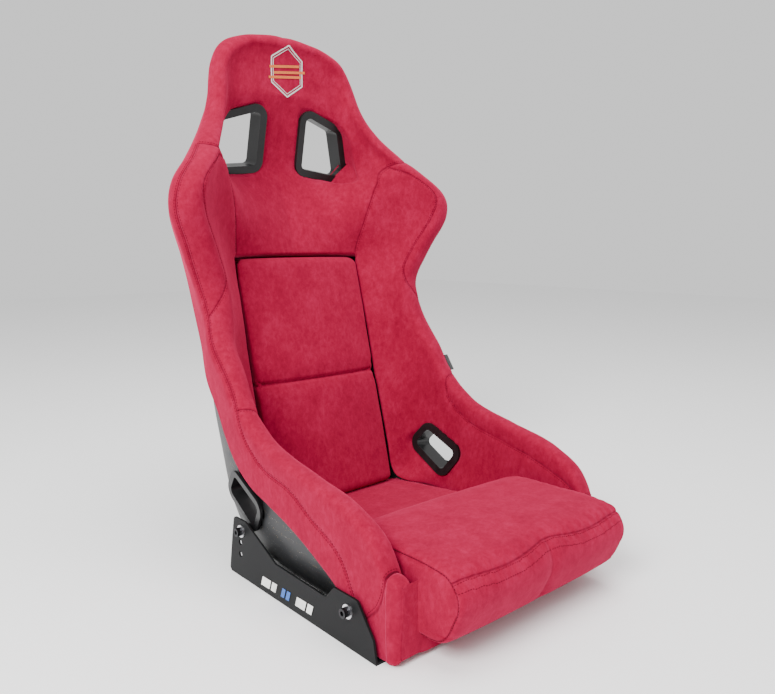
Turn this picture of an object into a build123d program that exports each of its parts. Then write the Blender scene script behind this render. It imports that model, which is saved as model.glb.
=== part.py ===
"""Fixed-back motorsport bucket seat: moulded shell, padded trim, lift-out cushions, side brackets.

Frame: +Z up, the seat faces -Y, X = 0 is the mirror plane. The origin is on the floor plane
under the middle of the seat's bounding box. All lengths are millimetres.
"""
from collections import namedtuple
from build123d import *
import math
import os

os.makedirs("parts", exist_ok=True)

# ---- driving dimensions -------------------------------------------------------------------
SHELL = 4.0            # laminate thickness
FIT = 0.5              # air between trim layers
FOAM_OUT = 5.0         # foam turned over the outside of the rim
SKIN = 2.0             # suede trim cloth with its backing
TRIM_DEPTH = 20.0      # laminate to the face of the trim where the trim is thinnest
RIM_ROLL = 9.0         # foam standing above the laminate's edge
ROLL_GAIN = 0.25       # extra height of a rim roll for each millimetre beyond TRIM_DEPTH
WALL_START = 0.36      # where the bolster foam starts, along the wall curve from the flat floor
PANEL_END = 0.33       # where the centre panels end, along the same curve
SEAM_END = 0.985       # where the centre panel's face stops short of the seam
FRONT_WRAP = 8.0       # trim standing ahead of the laminate's front edge
HEAD_DROP = 30.0       # trim turned down behind the head and shoulders
DATUM_Y = -8.0         # moves the finished pieces so that the seat is centred front to back

# Each row is one cross-section, from the front lip round to the head. The moulding is given by
# its floor or back centre (y, z), its rim (y, z) and the half-widths of flat, corner and rim.
# The trim is given by the seam between centre and bolster (x, height above the flat), how far
# the bolster bows towards its corner, the thickness of the roll at the rim, the height turned
# down outside, then the centre's height above the flat and how far the centre panel bows.
Station = namedtuple(
    "Station",
    "foot_y foot_z rim_y rim_z flat corner rim seam_x seam_h bow roll drop centre centre_bow",
)
STATIONS = [
    Station(-249, 9, -249, 104, 140, 204, 208, 174, 27, 0.40, 20, 98, 20, 0),
    Station(-229, 9, -229, 137, 142, 205, 209, 175, 32, 0.38, 20, 130, 20, 0),
    Station(-183, 9, -183, 165, 144, 206, 211, 176, 36, 0.36, 20, 115, 20, 0),
    Station(-93, 10, -93, 188, 146, 208, 214, 178, 39, 0.35, 20, 84, 20, 0),
    Station(-3, 12, -5, 209, 146, 208, 216, 178, 41, 0.32, 20, 72, 20, 0),
    Station(77, 16, 31, 226, 142, 204, 218, 176, 44, 0.35, 21, 74, 20, 0),
    Station(142, 30, 59, 245, 136, 198, 220, 131, 47, 0.80, 24, 70, 20, 0),
    Station(179, 66, 83, 272, 132, 194, 221, 130, 78, 0.65, 27, 66, 20, 0),
    Station(199, 120, 105, 304, 130, 192, 222, 130, 83, 0.45, 30, 62, 20, 0),
    Station(219, 200, 141, 346, 130, 190, 222, 130, 76, 0.25, 33, 61, 20, 0),
    Station(245, 300, 163, 392, 130, 184, 217, 130, 63, 0.10, 37, 58, 20, 0),
    Station(270, 400, 177, 438, 130, 183, 222, 129, 51, 0.05, 41, 56, 20, 0),
    Station(288, 478, 167, 494, 130, 183, 246, 129, 53, 0.10, 42, 56, 43, 0),
    Station(302, 545, 149, 556, 130, 188, 273, 138, 89, 0.15, 42, 56, 34, 0.2),
    Station(315, 597, 151, 600, 130, 186, 262, 149, 114, 0.15, 40, 40, 26, 0.45),
    Station(322, 634, 172, 634, 130, 172, 229, 160, 125, 0.20, 34, 30, 22, 0.75),
    Station(317, 668, 204, 668, 120, 150, 197, 158, 88, 0.25, 27, 30, 20, 0.7),
    Station(307, 704, 232, 704, 105, 134, 169, 137, 56, 0.30, 22, 30, 20, 0.6),
    Station(291, 762, 260, 762, 80, 113, 144, 107, 28, 0.30, 20, 30, 20, 0.4),
    Station(285, 806, 272, 806, 66, 100, 131, 95, 22.5, 0.30, 20, 30, 20, 0.3),
    Station(283, 834, 275, 834, 52, 84, 112, 79, 21, 0.30, 20, 30, 20, 0.3),
    Station(282, 850, 277, 850, 34, 58, 84, 53, 20.5, 0.30, 20, 30, 20, 0.3),
]
WALL_BULGE = 0.45      # side position of the wall's middle control point
WALL_LOW = 0.36        # its height, as a share of the wall
SIDE_ROWS = STATIONS[:15]
HEAD_ROWS = STATIONS[14:]
LINING_ROWS = STATIONS[:13]
SHOULDER_ROWS = STATIONS[12:15]
FRONT_ROW = STATIONS[0]._replace(foot_y=-249 - FRONT_WRAP, rim_y=-249 - FRONT_WRAP)

# Belt openings. Corners are in the plane of the opening, right-hand side of the seat.
BELT_TILT = 13.0       # the head leans forward by this angle
BELT_CENTRE = (0, 289, 689)
BELT_CORNERS = [(48, 48), (120, 24), (147, -58), (49, -47)]
LAP_FACING = (-1, -0.09, 0.13)     # inward direction square to the leaning side wall
LAP_CENTRE = (189.5, 69, 127)
LAP_CORNERS = [(-24, 31), (-51, 0), (18, -39), (46, -1)]
OPENING_ROUND = 9.0
TUBE = 3.0             # wall of the plastic tube through the opening
BEZEL_BORDER = 13.0    # flange width outside the opening
RING_BORDER = 10.0     # the same on the clip ring
BEZEL_RISE = 5.0       # flange standing proud of the trim
BEZEL_SINK = 4.0       # flange let into the trim
REAR_RING = 4.0        # thickness of the clip ring behind the laminate
BELT_SEAL = 2.5        # seal between laminate and clip ring, flat back
LAP_SEAL = 3.0         # the same at the curved side wall

# Loose cushions
SEAT_HALF = 174.0
SEAT_SIDE = [
    (-317, 40), (-317, 120), (-311, 126), (-124, 126), (-17, 64), (60, 60), (147, 58),
    (147, 48), (130, 38), (77, 24), (-3, 18), (-53, 16), (-243, 16), (-249, 35), (-311, 35),
]
SEAT_FRONT = [(-174, 200), (-174, 46), (-146, 10), (146, 10), (174, 46), (174, 200)]
SEAT_PLAN = [(-174, -320), (174, -320), (174, 0), (143, 150), (-143, 150), (-174, 0)]
FOAM_SPLIT_Y = -60.0       # the raised thigh block's foam ends here
BACK_SIDE = [
    (122, 63), (178, 270), (234, 477), (283, 477), (264, 400), (239, 300), (213, 200),
    (192, 120), (175, 72), (168, 63),
]
BACK_HALF_LOW = 125.0
BACK_HALF_HIGH = 127.0
BACK_SPLIT_Z = 266.0
CUSHION_SKIN = 2.0

# Side brackets and their fixings
PLATE = 3.0
PLATE_FACE = 226.0     # outer face of the bracket plate
FLANGE = 42.0
FIXINGS = [(73, 74), (-187, 49)]
BOLT = 8.0
BOLT_HOLE = 4.4        # radius of the clearance hole
INSERT_FLANGE = 11.0   # radius of the threaded insert's flange
SPACER_RADIUS = 8.0
TILT_HOLES = [(77, 55), (77, 36)]
SLOT_Y = (-180, 60)
SLOT_LENGTH = 24.0
SLOT_WIDTH = 8.5


# ---- section geometry -----------------------------------------------------------------------
def section_plane(row):
    """Sketch plane of a station: local X is across the seat, local Y points at the rim."""
    rise = Vector(0, row.rim_y - row.foot_y, row.rim_z - row.foot_z).normalized()
    sideways = Vector(1, 0, 0)
    return Plane(origin=(0, row.foot_y, row.foot_z), x_dir=sideways, z_dir=sideways.cross(rise))


def shifted(points, inward):
    """Control points moved square to their own polygon, towards the occupant."""
    runs = [(b - a).normalized() for a, b in zip(points, points[1:])]
    normals = [Vector(-run.Y, run.X) for run in runs]
    moved = [points[0] + normals[0] * inward]
    for point, before, after in zip(points[1:], normals, normals[1:]):
        moved.append(point + (before + after) * (inward / (1 + before.dot(after))))
    moved.append(points[-1] + normals[-1] * inward)
    return moved


def wall_points(row, inward):
    """Control points of the laminate's wall from the flat to the rim, moved inward."""
    height = math.hypot(row.rim_y - row.foot_y, row.rim_z - row.foot_z)
    middle = (row.corner + (row.rim - row.corner) * WALL_BULGE, height * WALL_LOW)
    points = [Vector(row.flat, 0), Vector(row.corner, 0), Vector(*middle), Vector(row.rim, height)]
    return shifted(points, inward)


def split_curve(points, t):
    """De Casteljau split of a cubic: control points of the part before t and after t."""
    level1 = [a + (b - a) * t for a, b in zip(points, points[1:])]
    level2 = [a + (b - a) * t for a, b in zip(level1, level1[1:])]
    middle = level2[0] + (level2[1] - level2[0]) * t
    return [points[0], level1[0], level2[0], middle], [middle, level2[1], level1[2], points[3]]


def bowed(start, end, bow):
    """Inner control points of a cubic between two points, bowed towards their low corner."""
    corner = Vector(end.X, start.Y)
    thirds = [start + (end - start) / 3, start + (end - start) * 2 / 3]
    return [point + (corner - point) * bow for point in thirds]


def rim_axes(row):
    """Rim point of the laminate with the directions along the wall and inward."""
    points = wall_points(row, 0)
    along = (points[3] - points[2]).normalized()
    return points[3], along, Vector(-along.Y, along.X)


def face_points(row, offset):
    """Control points of the trim's face: the centre panel's cubic, then the bolster's."""
    rim, _, inward = rim_axes(row)
    seam = Vector(row.seam_x, row.seam_h)
    edge = rim + inward * row.roll
    centre = Vector(0, row.centre)
    points = [centre] + bowed(centre, seam, row.centre_bow)
    points += [seam] + bowed(seam, edge, row.bow) + [edge]
    if row in LINING_ROWS[:-1]:
        return shifted(points[3:], offset)
    moved = shifted(points, offset)
    return [Vector(0, row.centre + offset)] + moved[1:]


def bolster_face(row, offset):
    """The bolster's part of the trim face."""
    return face_points(row, offset)[-4:]


def across(points):
    """The same control points on the other side of the mirror plane."""
    return [Vector(-p.X, p.Y) for p in points]


def channel_outline(row, low, high, end=1):
    """Closed U band between two inward distances, out to a place along the wall curve."""
    outer = split_curve(wall_points(row, low), end)[0]
    inner = split_curve(wall_points(row, high), end)[0]
    Bezier(*outer)
    Line(outer[3], inner[3])
    Bezier(*inner[::-1])
    Line(inner[0], across(inner)[0])
    Bezier(*across(inner))
    Line(across(inner)[3], across(outer)[3])
    Bezier(*across(outer)[::-1])
    Line(across(outer)[0], outer[0])


# Layers of the trim. The face and back are measured from the trim's face and the laminate.
FOAM_LAYER = {
    "face": -SKIN - FIT,
    "out_low": SHELL + FIT,
    "out_high": SHELL + FIT + FOAM_OUT,
    "roll_low": FIT,
    "roll_high": RIM_ROLL,
    "drop": 0.5,
}
SKIN_LAYER = {
    "face": 0,
    "out_low": SHELL + FIT + FOAM_OUT + FIT,
    "out_high": SHELL + FIT + FOAM_OUT + FIT + SKIN,
    "roll_low": RIM_ROLL + FIT,
    "roll_high": RIM_ROLL + FIT + SKIN,
    "drop": 1.0,
}


def bolster_back(row, layer):
    """Back of a layer behind the bolster: foam lies on the laminate, the skin on the foam."""
    if layer is FOAM_LAYER:
        return split_curve(wall_points(row, FIT), WALL_START)[1]
    return bolster_face(row, -SKIN)


def rim_turn(row, face_end, out, roll, drop):
    """Points where one side of a layer turns over the rim and hangs down outside."""
    rim, along, inward = rim_axes(row)
    depth = (face_end - rim).dot(inward)
    outer = rim - inward * out
    top = rim + along * roll + inward * ((depth - out) / 2)
    return [face_end, top, outer, outer - along * drop]


def turned_edge(face, back):
    """The outline of a layer where it turns over the rim."""
    ThreePointArc(*face[:3])
    Line(face[2], face[3])
    Line(face[3], back[3])
    Line(back[3], back[2])
    ThreePointArc(*back[2::-1])


def turn_points(row, layer, face_end, back_end):
    """Both sides of a layer where it turns over the rim."""
    drop = row.drop * layer["drop"]
    gain = (row.roll - TRIM_DEPTH) * ROLL_GAIN
    foam_back = 0 if layer is FOAM_LAYER else gain
    face = rim_turn(row, face_end, layer["out_high"], layer["roll_high"] + gain, drop)
    back = rim_turn(row, back_end, layer["out_low"], layer["roll_low"] + foam_back, drop)
    return face, back


def hook_outline(row, layer):
    """Closed band that lines one wall inside, turns over the rim and hangs down outside."""
    inside = bolster_face(row, layer["face"])
    outside = bolster_back(row, layer)
    Bezier(*inside)
    turned_edge(*turn_points(row, layer, inside[3], outside[3]))
    Bezier(*outside[::-1])
    Line(outside[0], inside[0])


def head_outline(row, layer):
    """Closed band that lines the whole width and turns over both rims."""
    inside = face_points(row, layer["face"])
    if layer is FOAM_LAYER:
        outside = wall_points(row, FIT)
    else:
        outside = face_points(row, -SKIN)
    face, back = turn_points(row, layer, inside[-1], outside[-1])
    Bezier(*inside[:4])
    Bezier(*inside[3:])
    turned_edge(face, back)
    Bezier(*outside[:-5:-1])
    if layer is FOAM_LAYER:
        Line(outside[0], across(outside)[0])
    else:
        Bezier(*outside[3::-1])
        Bezier(*across(outside)[:4])
    Bezier(*across(outside)[-4:])
    turned_edge(across(face), across(back))
    Bezier(*across(inside)[:-5:-1])
    Bezier(*across(inside)[3::-1])


def panel_outline(row, layer):
    """Closed band of the centre panel between the two bolster seams."""
    inside = split_curve(face_points(row, layer["face"])[:4], SEAM_END)[0]
    Bezier(*inside)
    if layer is FOAM_LAYER:
        outside = split_curve(wall_points(row, FIT), PANEL_END)[0]
    else:
        outside = split_curve(face_points(row, -SKIN)[:4], SEAM_END)[0]
    Line(inside[3], outside[3])
    Bezier(*outside[::-1])
    if layer is FOAM_LAYER:
        Line(outside[0], across(outside)[0])
    Bezier(*across(outside))
    Line(across(outside)[3], across(inside)[3])
    Bezier(*across(inside)[::-1])


def cap_outline(row, face, out):
    """Closed band across the top of the head between the trim's face and its back."""
    front = face_points(row, face)
    back = wall_points(row, -out)
    Bezier(*front[:4])
    Bezier(*front[3:])
    Line(front[-1], back[3])
    Bezier(*back[::-1])
    Line(back[0], across(back)[0])
    Bezier(*across(back))
    Line(across(back)[3], across(front)[-1])
    Bezier(*across(front)[:-5:-1])
    Bezier(*across(front)[3::-1])


def section(row, outline, *sizes):
    """Closed sketch of a station, drawn by an outline function."""
    with BuildSketch(section_plane(row)) as sketch:
        with BuildLine():
            outline(row, *sizes)
        make_face()
    return sketch.sketch


# ---- belt openings ----------------------------------------------------------------------------
def belt_plane(depth):
    """Plane of the shoulder openings, at a depth behind the face of the trim."""
    tilt = math.radians(BELT_TILT)
    facing = Vector(0, -math.cos(tilt), -math.sin(tilt))
    return Plane(origin=Vector(*BELT_CENTRE) - facing * depth, x_dir=(1, 0, 0), z_dir=facing)


def lap_plane(depth):
    """Plane of the right lap opening, at a depth behind the face of the trim."""
    facing = Vector(*LAP_FACING).normalized()
    across_wall = Vector(0, 0, 1).cross(facing)
    return Plane(origin=Vector(*LAP_CENTRE) - facing * depth, x_dir=across_wall, z_dir=facing)


def opening_solid(plane, corners, grow, height):
    """Solid plug with the rounded outline of an opening, grown by a border."""
    with BuildSketch(plane) as outline:
        with BuildLine():
            Polyline(*corners, close=True)
        make_face()
        if grow:
            offset(amount=grow, kind=Kind.INTERSECTION)
        fillet(outline.vertices(), OPENING_ROUND + grow)
    with BuildPart() as plug:
        extrude(outline.sketch, height, dir=plane.z_dir)
    return plug.part


OPENING_KINDS = [(belt_plane, BELT_CORNERS), (lap_plane, LAP_CORNERS)]
THROUGH = 45.0         # half length of a cut through trim and laminate


def cut_openings(pocket):
    """Cut the four belt openings out of the part being built, and pockets for the flanges."""
    for plane_at, corners in OPENING_KINDS:
        cuts = [opening_solid(plane_at(THROUGH), corners, TUBE + FIT, 2 * THROUGH)]
        if pocket:
            grow = BEZEL_BORDER + FIT
            cuts.append(opening_solid(plane_at(BEZEL_SINK + FIT), corners, grow, THROUGH))
        for cut in cuts:
            add(cut, mode=Mode.SUBTRACT)
            add(cut.mirror(Plane.YZ), mode=Mode.SUBTRACT)


def cut_fixing_holes(radius, start, end):
    """Cut round holes on the bracket fixing axes through both side walls."""
    for y, z in FIXINGS:
        for side in (-1, 1):
            with Locations(Location((side * (start + end) / 2, y, z), (0, 90, 0))):
                Cylinder(radius, end - start, mode=Mode.SUBTRACT)


def write(part, name):
    """Move a finished piece to the seat's origin, label it and write it."""
    placed = part.moved(Location((0, DATUM_Y, 0)))
    placed.label = name
    export_step(placed, f"parts/{name}.step")


def write_sides(part, name):
    """Write a right-hand piece and its mirror twin."""
    write(part, f"{name}_right")
    write(part.mirror(Plane.YZ), f"{name}_left")


# ---- moulded shell ------------------------------------------------------------------------------
with BuildPart() as bucket_shell:
    loft([section(row, channel_outline, -SHELL, 0) for row in STATIONS], ruled=True)
    cut_openings(pocket=False)
    cut_fixing_holes(BOLT_HOLE, 180, 230)
write(bucket_shell.part, "bucket_shell")


# ---- fixed trim -----------------------------------------------------------------------------------
def side_trim(layer):
    """Right bolster trim from the front edge up to the shoulder, into the open part."""
    rows = [FRONT_ROW] + SIDE_ROWS
    loft([section(row, hook_outline, layer) for row in rows], ruled=True)
    cut_openings(pocket=True)


with BuildPart() as side_foam:
    side_trim(FOAM_LAYER)
    cut_fixing_holes(INSERT_FLANGE + 1, 190, 240)
write_sides(side_foam.part, "side_foam")

with BuildPart() as side_cover:
    side_trim(SKIN_LAYER)
    cut_fixing_holes(SPACER_RADIUS + 1, 200, 240)
write_sides(side_cover.part, "side_cover")


def head_trim(layer):
    """Head and shoulder trim, turned over both sides and over the top, into the open part."""
    loft([section(row, head_outline, layer) for row in HEAD_ROWS], ruled=True)
    top = HEAD_ROWS[-1]
    cap = section(top, cap_outline, layer["face"], layer["out_high"])
    up = (0, 0, 1)
    extrude(cap, layer["roll_high"], dir=up)
    if layer is FOAM_LAYER:
        hollow = section(top, channel_outline, -layer["out_low"], FIT)
    else:
        hollow = section(top, cap_outline, -SKIN, layer["out_low"])
    extrude(hollow, layer["roll_low"], dir=up, mode=Mode.SUBTRACT)
    cut_openings(pocket=True)


with BuildPart() as head_foam:
    head_trim(FOAM_LAYER)
write(head_foam.part, "head_foam")

with BuildPart() as head_cover:
    head_trim(SKIN_LAYER)
write(head_cover.part, "head_cover")

with BuildPart() as shoulder_foam:
    loft([section(row, panel_outline, FOAM_LAYER) for row in SHOULDER_ROWS], ruled=True)
write(shoulder_foam.part, "shoulder_foam")

with BuildPart() as shoulder_cover:
    loft([section(row, panel_outline, SKIN_LAYER) for row in SHOULDER_ROWS], ruled=True)
write(shoulder_cover.part, "shoulder_cover")

with BuildPart() as shell_lining:
    loft([section(row, channel_outline, FIT, FIT + SKIN, PANEL_END) for row in LINING_ROWS], ruled=True)
write(shell_lining.part, "shell_lining")


# ---- belt opening bezels ------------------------------------------------------------------------------
def face_bezel(plane_at, corners, seal):
    """Flange on the trim with its tube through the laminate, into the open part."""
    rear = TRIM_DEPTH + SHELL + seal + REAR_RING
    add(opening_solid(plane_at(BEZEL_SINK), corners, BEZEL_BORDER, BEZEL_SINK + BEZEL_RISE))
    add(opening_solid(plane_at(rear), corners, TUBE, rear))
    add(opening_solid(plane_at(rear + 1), corners, 0, rear + 20), mode=Mode.SUBTRACT)


def rear_bezel(plane_at, corners, seal):
    """Clip ring round the tube behind the laminate, into the open part."""
    rear = TRIM_DEPTH + SHELL + seal + REAR_RING
    add(opening_solid(plane_at(rear), corners, RING_BORDER, REAR_RING))
    add(opening_solid(plane_at(rear + 1), corners, TUBE + 0.1, REAR_RING + 2), mode=Mode.SUBTRACT)


with BuildPart() as belt_bezel_front:
    face_bezel(belt_plane, BELT_CORNERS, BELT_SEAL)
write_sides(belt_bezel_front.part, "belt_bezel_front")

with BuildPart() as belt_bezel_rear:
    rear_bezel(belt_plane, BELT_CORNERS, BELT_SEAL)
write_sides(belt_bezel_rear.part, "belt_bezel_rear")

with BuildPart() as lap_bezel_inner:
    face_bezel(lap_plane, LAP_CORNERS, LAP_SEAL)
write_sides(lap_bezel_inner.part, "lap_bezel_inner")

with BuildPart() as lap_bezel_outer:
    rear_bezel(lap_plane, LAP_CORNERS, LAP_SEAL)
write_sides(lap_bezel_outer.part, "lap_bezel_outer")


# ---- loose seat cushion --------------------------------------------------------------------------------
def profile(plane, corners, inset):
    """Polygon sketch on a plane, shrunk by an inset."""
    with BuildSketch(plane) as sketch:
        with BuildLine():
            Polyline(*corners, close=True)
        make_face()
        if inset:
            offset(amount=-inset, kind=Kind.INTERSECTION)
    return sketch.sketch


def seat_block(inset):
    """Solid with the seat cushion's side profile, shrunk by an inset, into the open part."""
    half = SEAT_HALF - inset
    extrude(profile(Plane.YZ.offset(-half), SEAT_SIDE, inset), 2 * half, dir=(1, 0, 0))
    front = profile(Plane.XZ.offset(400), SEAT_FRONT, inset)
    extrude(front, 800, dir=(0, 1, 0), mode=Mode.INTERSECT)
    extrude(profile(Plane.XY, SEAT_PLAN, inset), 200, dir=(0, 0, 1), mode=Mode.INTERSECT)


with BuildPart() as seat_cushion_cover:
    seat_block(0)
    front = seat_cushion_cover.edges().filter_by(Axis.Z).sort_by(Axis.Y)[:2]
    fillet(front, 12)
    with BuildPart(mode=Mode.PRIVATE) as core:
        seat_block(CUSHION_SKIN)
    add(core.part, mode=Mode.SUBTRACT)
write(seat_cushion_cover.part, "seat_cushion_cover")

with BuildPart() as thigh_foam:
    seat_block(CUSHION_SKIN + FIT)
    corners = thigh_foam.edges().filter_by(Axis.Z).sort_by(Axis.Y)[:2]
    fillet(corners, 10)
    split(bisect_by=Plane.XZ.offset(-FOAM_SPLIT_Y), keep=Keep.TOP)
write(thigh_foam.part, "thigh_foam")

with BuildPart() as seat_base_foam:
    seat_block(CUSHION_SKIN + FIT)
    split(bisect_by=Plane.XZ.offset(-FOAM_SPLIT_Y - FIT), keep=Keep.BOTTOM)
write(seat_base_foam.part, "seat_base_foam")


# ---- loose back cushion ---------------------------------------------------------------------------------
def back_block(inset):
    """Solid with the back cushion's side profile and tapering width, into the open part."""
    side = profile(Plane.YZ.offset(-BACK_HALF_LOW), BACK_SIDE, inset)
    extrude(side, 2 * BACK_HALF_LOW, dir=(1, 0, 0))
    low = BACK_SIDE[0][1]
    high = BACK_SIDE[2][1]
    corners = [(-BACK_HALF_LOW, low), (BACK_HALF_LOW, low), (BACK_HALF_HIGH, high), (-BACK_HALF_HIGH, high)]
    extrude(profile(Plane.XZ, corners, inset), 400, dir=(0, 1, 0), mode=Mode.INTERSECT)


with BuildPart() as back_cushion_cover:
    back_block(0)
    with BuildPart(mode=Mode.PRIVATE) as core:
        back_block(CUSHION_SKIN)
    add(core.part, mode=Mode.SUBTRACT)
write(back_cushion_cover.part, "back_cushion_cover")

with BuildPart() as upper_back_foam:
    back_block(CUSHION_SKIN + FIT)
    split(bisect_by=Plane.XY.offset(BACK_SPLIT_Z + FIT), keep=Keep.TOP)
write(upper_back_foam.part, "upper_back_foam")

with BuildPart() as lumbar_foam:
    back_block(CUSHION_SKIN + FIT)
    split(bisect_by=Plane.XY.offset(BACK_SPLIT_Z), keep=Keep.BOTTOM)
write(lumbar_foam.part, "lumbar_foam")


# ---- side brackets ------------------------------------------------------------------------------------------
BRACKET_SIDE = [
    (-242, 0), (106, 0), (110, 5), (101, 58), (94, 92), (60, 92), (-21, 53), (-140, 50),
    (-158, 70), (-205, 70), (-236, 30),
]

with BuildPart() as side_bracket:
    with BuildSketch(Plane.YZ.offset(PLATE_FACE - PLATE)):
        with BuildLine():
            Polyline(*BRACKET_SIDE, close=True)
        make_face()
    extrude(amount=PLATE)
    with BuildSketch(Plane.XY):
        with Locations((PLATE_FACE - FLANGE / 2, (BRACKET_SIDE[0][0] + BRACKET_SIDE[1][0]) / 2)):
            Rectangle(FLANGE, BRACKET_SIDE[1][0] - BRACKET_SIDE[0][0])
    extrude(amount=PLATE)
    upright = side_bracket.edges().filter_by(Axis.X).filter_by_position(Axis.Z, 20, 100)
    fillet(upright, 6)
    for y, z in FIXINGS + TILT_HOLES:
        with Locations(Location((PLATE_FACE, y, z), (0, 90, 0))):
            Cylinder(BOLT_HOLE, 4 * PLATE, mode=Mode.SUBTRACT)
    for y in SLOT_Y:
        with BuildSketch(Plane.XY):
            with Locations((PLATE_FACE - FLANGE / 2 - 2, y)):
                SlotOverall(SLOT_LENGTH, SLOT_WIDTH)
        extrude(amount=PLATE, mode=Mode.SUBTRACT)
write_sides(side_bracket.part, "side_bracket")


# ---- fixings ---------------------------------------------------------------------------------------------------
WASHER = 1.6
WASHER_RADIUS = 9.5
HEAD_RADIUS = 6.5
HEAD_HEIGHT = 8.0
HEX_KEY = 6.0          # across-flats size of the socket
SPACER_START = 207.6   # the laminate's outer face at the fixings
INSERT_START = 193.0
INSERT_THICK = 2.0
BOLT_END = 192.0


def side_rod(radius, start, end, y, z, mode=Mode.ADD):
    """Round bar between two X positions on both sides of the seat, into the open part."""
    for side in (-1, 1):
        with Locations(Location((side * (start + end) / 2, y, z), (0, 90, 0))):
            Cylinder(radius, end - start, mode=mode)


def socket_bolt(y, z):
    """Socket head cap screw on both sides, into the open part."""
    under_head = PLATE_FACE + WASHER
    top = under_head + HEAD_HEIGHT
    side_rod(BOLT / 2, BOLT_END, under_head, y, z)
    side_rod(HEAD_RADIUS, under_head, top, y, z)
    for side in (-1, 1):
        with BuildSketch(Plane.YZ.offset(side * (top - HEAD_HEIGHT / 2))) as socket:
            with Locations((y, z)):
                RegularPolygon(HEX_KEY / 2, 6, major_radius=False)
        extrude(socket.sketch, HEAD_HEIGHT, dir=(side, 0, 0), mode=Mode.SUBTRACT)


with BuildPart() as rear_bolts:
    socket_bolt(*FIXINGS[0])
write(rear_bolts.part, "rear_bolts")

with BuildPart() as front_bolts:
    socket_bolt(*FIXINGS[1])
write(front_bolts.part, "front_bolts")

with BuildPart() as plate_washers:
    for y, z in FIXINGS:
        side_rod(WASHER_RADIUS, PLATE_FACE, PLATE_FACE + WASHER, y, z)
        side_rod(BOLT_HOLE, PLATE_FACE, PLATE_FACE + WASHER, y, z, Mode.SUBTRACT)
write(plate_washers.part, "plate_washers")

with BuildPart() as bracket_spacers:
    for y, z in FIXINGS:
        side_rod(SPACER_RADIUS, SPACER_START, PLATE_FACE - PLATE, y, z)
        side_rod(BOLT_HOLE, SPACER_START, PLATE_FACE - PLATE, y, z, Mode.SUBTRACT)
write(bracket_spacers.part, "bracket_spacers")

with BuildPart() as threaded_inserts:
    for y, z in FIXINGS:
        side_rod(INSERT_FLANGE, INSERT_START, INSERT_START + INSERT_THICK, y, z)
        side_rod(BOLT / 2 + 0.1, INSERT_START, INSERT_START + INSERT_THICK, y, z, Mode.SUBTRACT)
write(threaded_inserts.part, "threaded_inserts")


# ---- hook and loop strips and the side tag --------------------------------------------------------------
STRIP = 1.2
STRIP_WIDTH = 40.0
STRIP_X = 62.0
SEAT_STRIP_LENGTH = 110.0
SEAT_STRIP_Y = -140.0
SEAT_LOOP_Z = 12.9
SEAT_HOOK_Z = SEAT_SIDE[-3][1] - STRIP
BACK_STRIP_LENGTH = 70.0
BACK_STRIP_ORIGINS = [(232, 250), (257.5, 350)]
BACK_FACING = Vector(0, -100, 25.5).normalized()
BACK_LOOP_RISE = 2.7
BACK_HOOK_RISE = 4.1


def seat_strips(base):
    """Two flat strips under the seat cushion, into the open part."""
    with Locations((-STRIP_X, SEAT_STRIP_Y, base), (STRIP_X, SEAT_STRIP_Y, base)):
        Box(STRIP_WIDTH, SEAT_STRIP_LENGTH, STRIP, align=(Align.CENTER, Align.CENTER, Align.MIN))


def back_strips(rise):
    """Four flat strips behind the back cushion, into the open part."""
    for y, z in BACK_STRIP_ORIGINS:
        plane = Plane(origin=(0, y, z), x_dir=(1, 0, 0), z_dir=BACK_FACING)
        with BuildSketch(plane.offset(rise)) as strips:
            with Locations((-STRIP_X, 0), (STRIP_X, 0)):
                Rectangle(STRIP_WIDTH, BACK_STRIP_LENGTH)
        extrude(strips.sketch, STRIP, dir=BACK_FACING)


with BuildPart() as seat_loop_strips:
    seat_strips(SEAT_LOOP_Z)
write(seat_loop_strips.part, "seat_loop_strips")

with BuildPart() as seat_hook_strips:
    seat_strips(SEAT_HOOK_Z)
write(seat_hook_strips.part, "seat_hook_strips")

with BuildPart() as back_loop_strips:
    back_strips(BACK_LOOP_RISE)
write(back_loop_strips.part, "back_loop_strips")

with BuildPart() as back_hook_strips:
    back_strips(BACK_HOOK_RISE)
write(back_hook_strips.part, "back_hook_strips")


TAG_THICK = 1.5
TAG_OUT = 12.0
TAG_LENGTH = 32.0
TAG_PLACE = (234.4, 92, 280)
RIM_RUN = Vector(0, -22, -32).normalized()

with BuildPart() as side_tag:
    tag_plane = Plane(origin=TAG_PLACE, x_dir=(1, 0, 0), z_dir=Vector(1, 0, 0).cross(RIM_RUN))
    with BuildSketch(tag_plane):
        with Locations((TAG_OUT / 2, 0)):
            Rectangle(TAG_OUT, TAG_LENGTH)
    extrude(amount=TAG_THICK)
write(side_tag.part, "side_tag")
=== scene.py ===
"""Looks for a racing bucket seat: sewn suede trim, loose cushions, moulded shell, hardware.

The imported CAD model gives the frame. Lengths in the tables below are millimetres in the seat's
section planes, as the moulding is drawn; mm() turns them into metres in the shared frame.
"""

import math

import bmesh
import bpy
import numpy as np
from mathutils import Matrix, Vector, noise
from mathutils.bvhtree import BVHTree


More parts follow.
